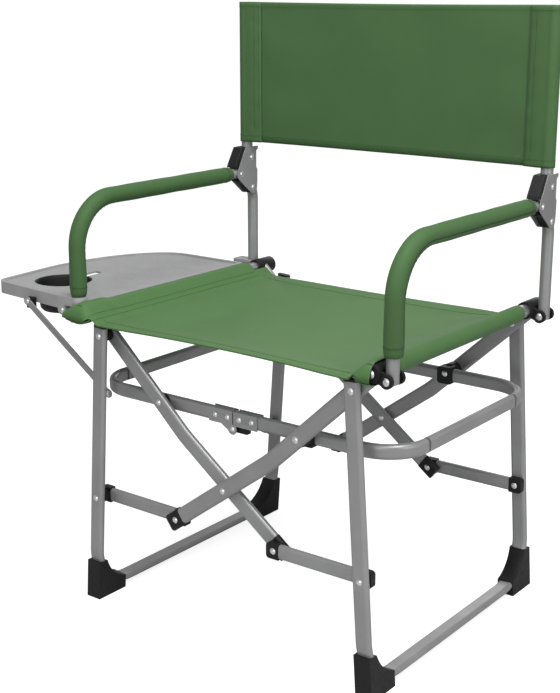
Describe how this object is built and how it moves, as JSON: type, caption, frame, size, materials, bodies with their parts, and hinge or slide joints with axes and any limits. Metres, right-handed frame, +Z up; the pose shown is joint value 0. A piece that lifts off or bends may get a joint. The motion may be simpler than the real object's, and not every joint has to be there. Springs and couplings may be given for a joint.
{
  "type": "folding director chair",
  "caption": "Folding director chair with fabric seat and back on a scissor tube frame, padded armrests and a fold-down side table with a cup holder.",
  "frame": {"origin": "on the floor, in the middle of the four feet", "axes": "+Z up, the sitter faces -Y, the table is on the -X side (the sitter's right)"},
  "size_m": [0.8335, 0.4762, 0.923],
  "materials": {
    "frame_paint": "smooth grey powder coat",
    "rivet_metal": "bright zinc plate",
    "bare_tube": "bare drawn tube",
    "black_plastic": "fine moulded grain",
    "grey_plastic": "fine moulded grain",
    "seat_fabric": "coated polyester plain weave",
    "back_fabric": "coated polyester plain weave",
    "pad_fabric": "coated polyester plain weave over foam"
  },
  "bodies": {
    "side_left": {"leg_frame_left": "frame_paint", "feet_left": "black_plastic", "leg_plugs_left": "black_plastic", "leg_rivets_left": "rivet_metal", "leg_spacers_left": "black_plastic"},
    "scissor_left": {"scissor_tubes_left": "frame_paint", "scissor_caps_left": "black_plastic", "scissor_rivets_left": "rivet_metal", "seat_tube_left": "bare_tube", "seat_joints_left": "black_plastic", "joint_rivets_left": "rivet_metal", "seat_sleeve_left": "seat_fabric", "seat_panel": "seat_fabric"},
    "scissor_right": {"scissor_tubes_right": "frame_paint", "scissor_caps_right": "black_plastic", "scissor_rivets_right": "rivet_metal", "seat_tube_right": "bare_tube", "seat_joints_right": "black_plastic", "joint_rivets_right": "rivet_metal", "seat_sleeve_right": "seat_fabric"},
    "side_right": {"leg_frame_right": "frame_paint", "feet_right": "black_plastic", "leg_plugs_right": "black_plastic", "leg_rivets_right": "rivet_metal"},
    "link_left": {"links_left": "frame_paint", "link_caps_left": "black_plastic", "link_rivets_left": "rivet_metal"},
    "link_right": {"links_right": "frame_paint", "link_caps_right": "black_plastic", "link_rivets_right": "rivet_metal"},
    "hoop_right": {"hoop_right": "frame_paint", "hoop_plates_right": "frame_paint", "hoop_rivets_right": "rivet_metal", "hoop_tongues": "black_plastic", "hoop_saddles": "black_plastic"},
    "hoop_left": {"hoop_left": "frame_paint", "hoop_plates_left": "frame_paint", "hoop_rivets_left": "rivet_metal", "hoop_washers": "black_plastic"},
    "arm_left": {"arm_tube_left": "frame_paint", "arm_pad_left": "pad_fabric", "back_plates_left": "frame_paint", "back_housing_left": "black_plastic", "back_rivets_left": "rivet_metal", "table_brackets": "grey_plastic", "table_rivets": "rivet_metal"},
    "arm_right": {"arm_tube_right": "frame_paint", "arm_pad_right": "pad_fabric", "back_plates_right": "frame_paint", "back_housing_right": "black_plastic", "back_rivets_right": "rivet_metal"},
    "back_left": {"back_pole_left": "frame_paint", "back_panel": "back_fabric"},
    "back_right": {"back_pole_right": "frame_paint"},
    "table": {"table_top": "grey_plastic", "cup_holder": "black_plastic", "brace_block": "black_plastic"},
    "brace": {"table_brace": "frame_paint", "brace_rivets": "rivet_metal"}
  },
  "joints": [
    {"name": "left_leg_pivot", "type": "hinge", "parent": "side_left", "child": "scissor_left", "pos_m": [-0.23, 0, 0.43922], "axis": [0, 1, 0], "range_deg": [0, 39.81]},
    {"name": "fold", "type": "hinge", "parent": "scissor_left", "child": "scissor_right", "pos_m": [0, 0, 0.241], "axis": [0, -1, 0], "range_deg": [0, 84], "deforming": ["seat_panel", "back_panel"]},
    {"name": "right_leg_pivot", "type": "hinge", "parent": "scissor_right", "child": "side_right", "pos_m": [0.23, 0, 0.43922], "axis": [0, 1, 0], "range_deg": [0, 39.81]},
    {"name": "left_link_pivot", "type": "hinge", "parent": "side_left", "child": "link_left", "pos_m": [-0.24878, 0, 0.173], "axis": [0, 1, 0], "range_deg": [0, 70.95]},
    {"name": "right_link_pivot", "type": "hinge", "parent": "side_right", "child": "link_right", "pos_m": [0.24878, 0, 0.173], "axis": [0, -1, 0], "range_deg": [0, 70.95]},
    {"name": "right_hoop_pivot", "type": "hinge", "parent": "scissor_right", "child": "hoop_right", "pos_m": [0.132, 0, 0.34783], "axis": [0, 1, 0], "range_deg": [0, 128.62]},
    {"name": "hoop_centre_hinge", "type": "hinge", "parent": "hoop_right", "child": "hoop_left", "pos_m": [0, 0, 0.329], "axis": [0, -1, 0], "range_deg": [0, 173.22]},
    {"name": "left_arm_pivot", "type": "hinge", "parent": "scissor_left", "child": "arm_left", "pos_m": [-0.2845, 0, 0.462], "axis": [0, -1, 0], "range_deg": [0, 42.01]},
    {"name": "right_arm_pivot", "type": "hinge", "parent": "scissor_right", "child": "arm_right", "pos_m": [0.2845, 0, 0.462], "axis": [0, 1, 0], "range_deg": [0, 42.01]},
    {"name": "table_hinge", "type": "hinge", "parent": "arm_left", "child": "table", "pos_m": [-0.312, 0, 0.468], "axis": [0, -1, 0], "range_deg": [0, 78.43]},
    {"name": "brace_pivot", "type": "hinge", "parent": "table", "child": "brace", "pos_m": [-0.426, 0, 0.459], "axis": [0, 1, 0], "range_deg": [0, 110.65]},
    {"name": "back_fold", "type": "hinge", "parent": "arm_left", "child": "back_left", "pos_m": [-0.2845, 0.196, 0.6625], "axis": [-1, 0, 0], "range_deg": [0, 130]},
    {"name": "back_fold_right", "type": "hinge", "parent": "arm_right", "child": "back_right", "pos_m": [0.2845, 0.196, 0.6625], "axis": [-1, 0, 0], "range_deg": [0, 130.01]}
  ],
  "couplings": [
    {"joint": "left_leg_pivot", "follows": "fold", "ratio": 0.47379},
    {"joint": "right_leg_pivot", "follows": "fold", "ratio": 0.47379},
    {"joint": "left_link_pivot", "follows": "fold", "ratio": 0.84452},
    {"joint": "right_link_pivot", "follows": "fold", "ratio": 0.84452},
    {"joint": "right_hoop_pivot", "follows": "fold", "ratio": 1.531},
    {"joint": "hoop_centre_hinge", "follows": "fold", "ratio": 2.0621},
    {"joint": "left_arm_pivot", "follows": "fold", "ratio": 0.5},
    {"joint": "right_arm_pivot", "follows": "fold", "ratio": 0.5},
    {"joint": "table_hinge", "follows": "fold", "ratio": 0.93359},
    {"joint": "brace_pivot", "follows": "fold", "ratio": 1.3171},
    {"joint": "back_fold_right", "follows": "back_fold", "ratio": 1}
  ]
}
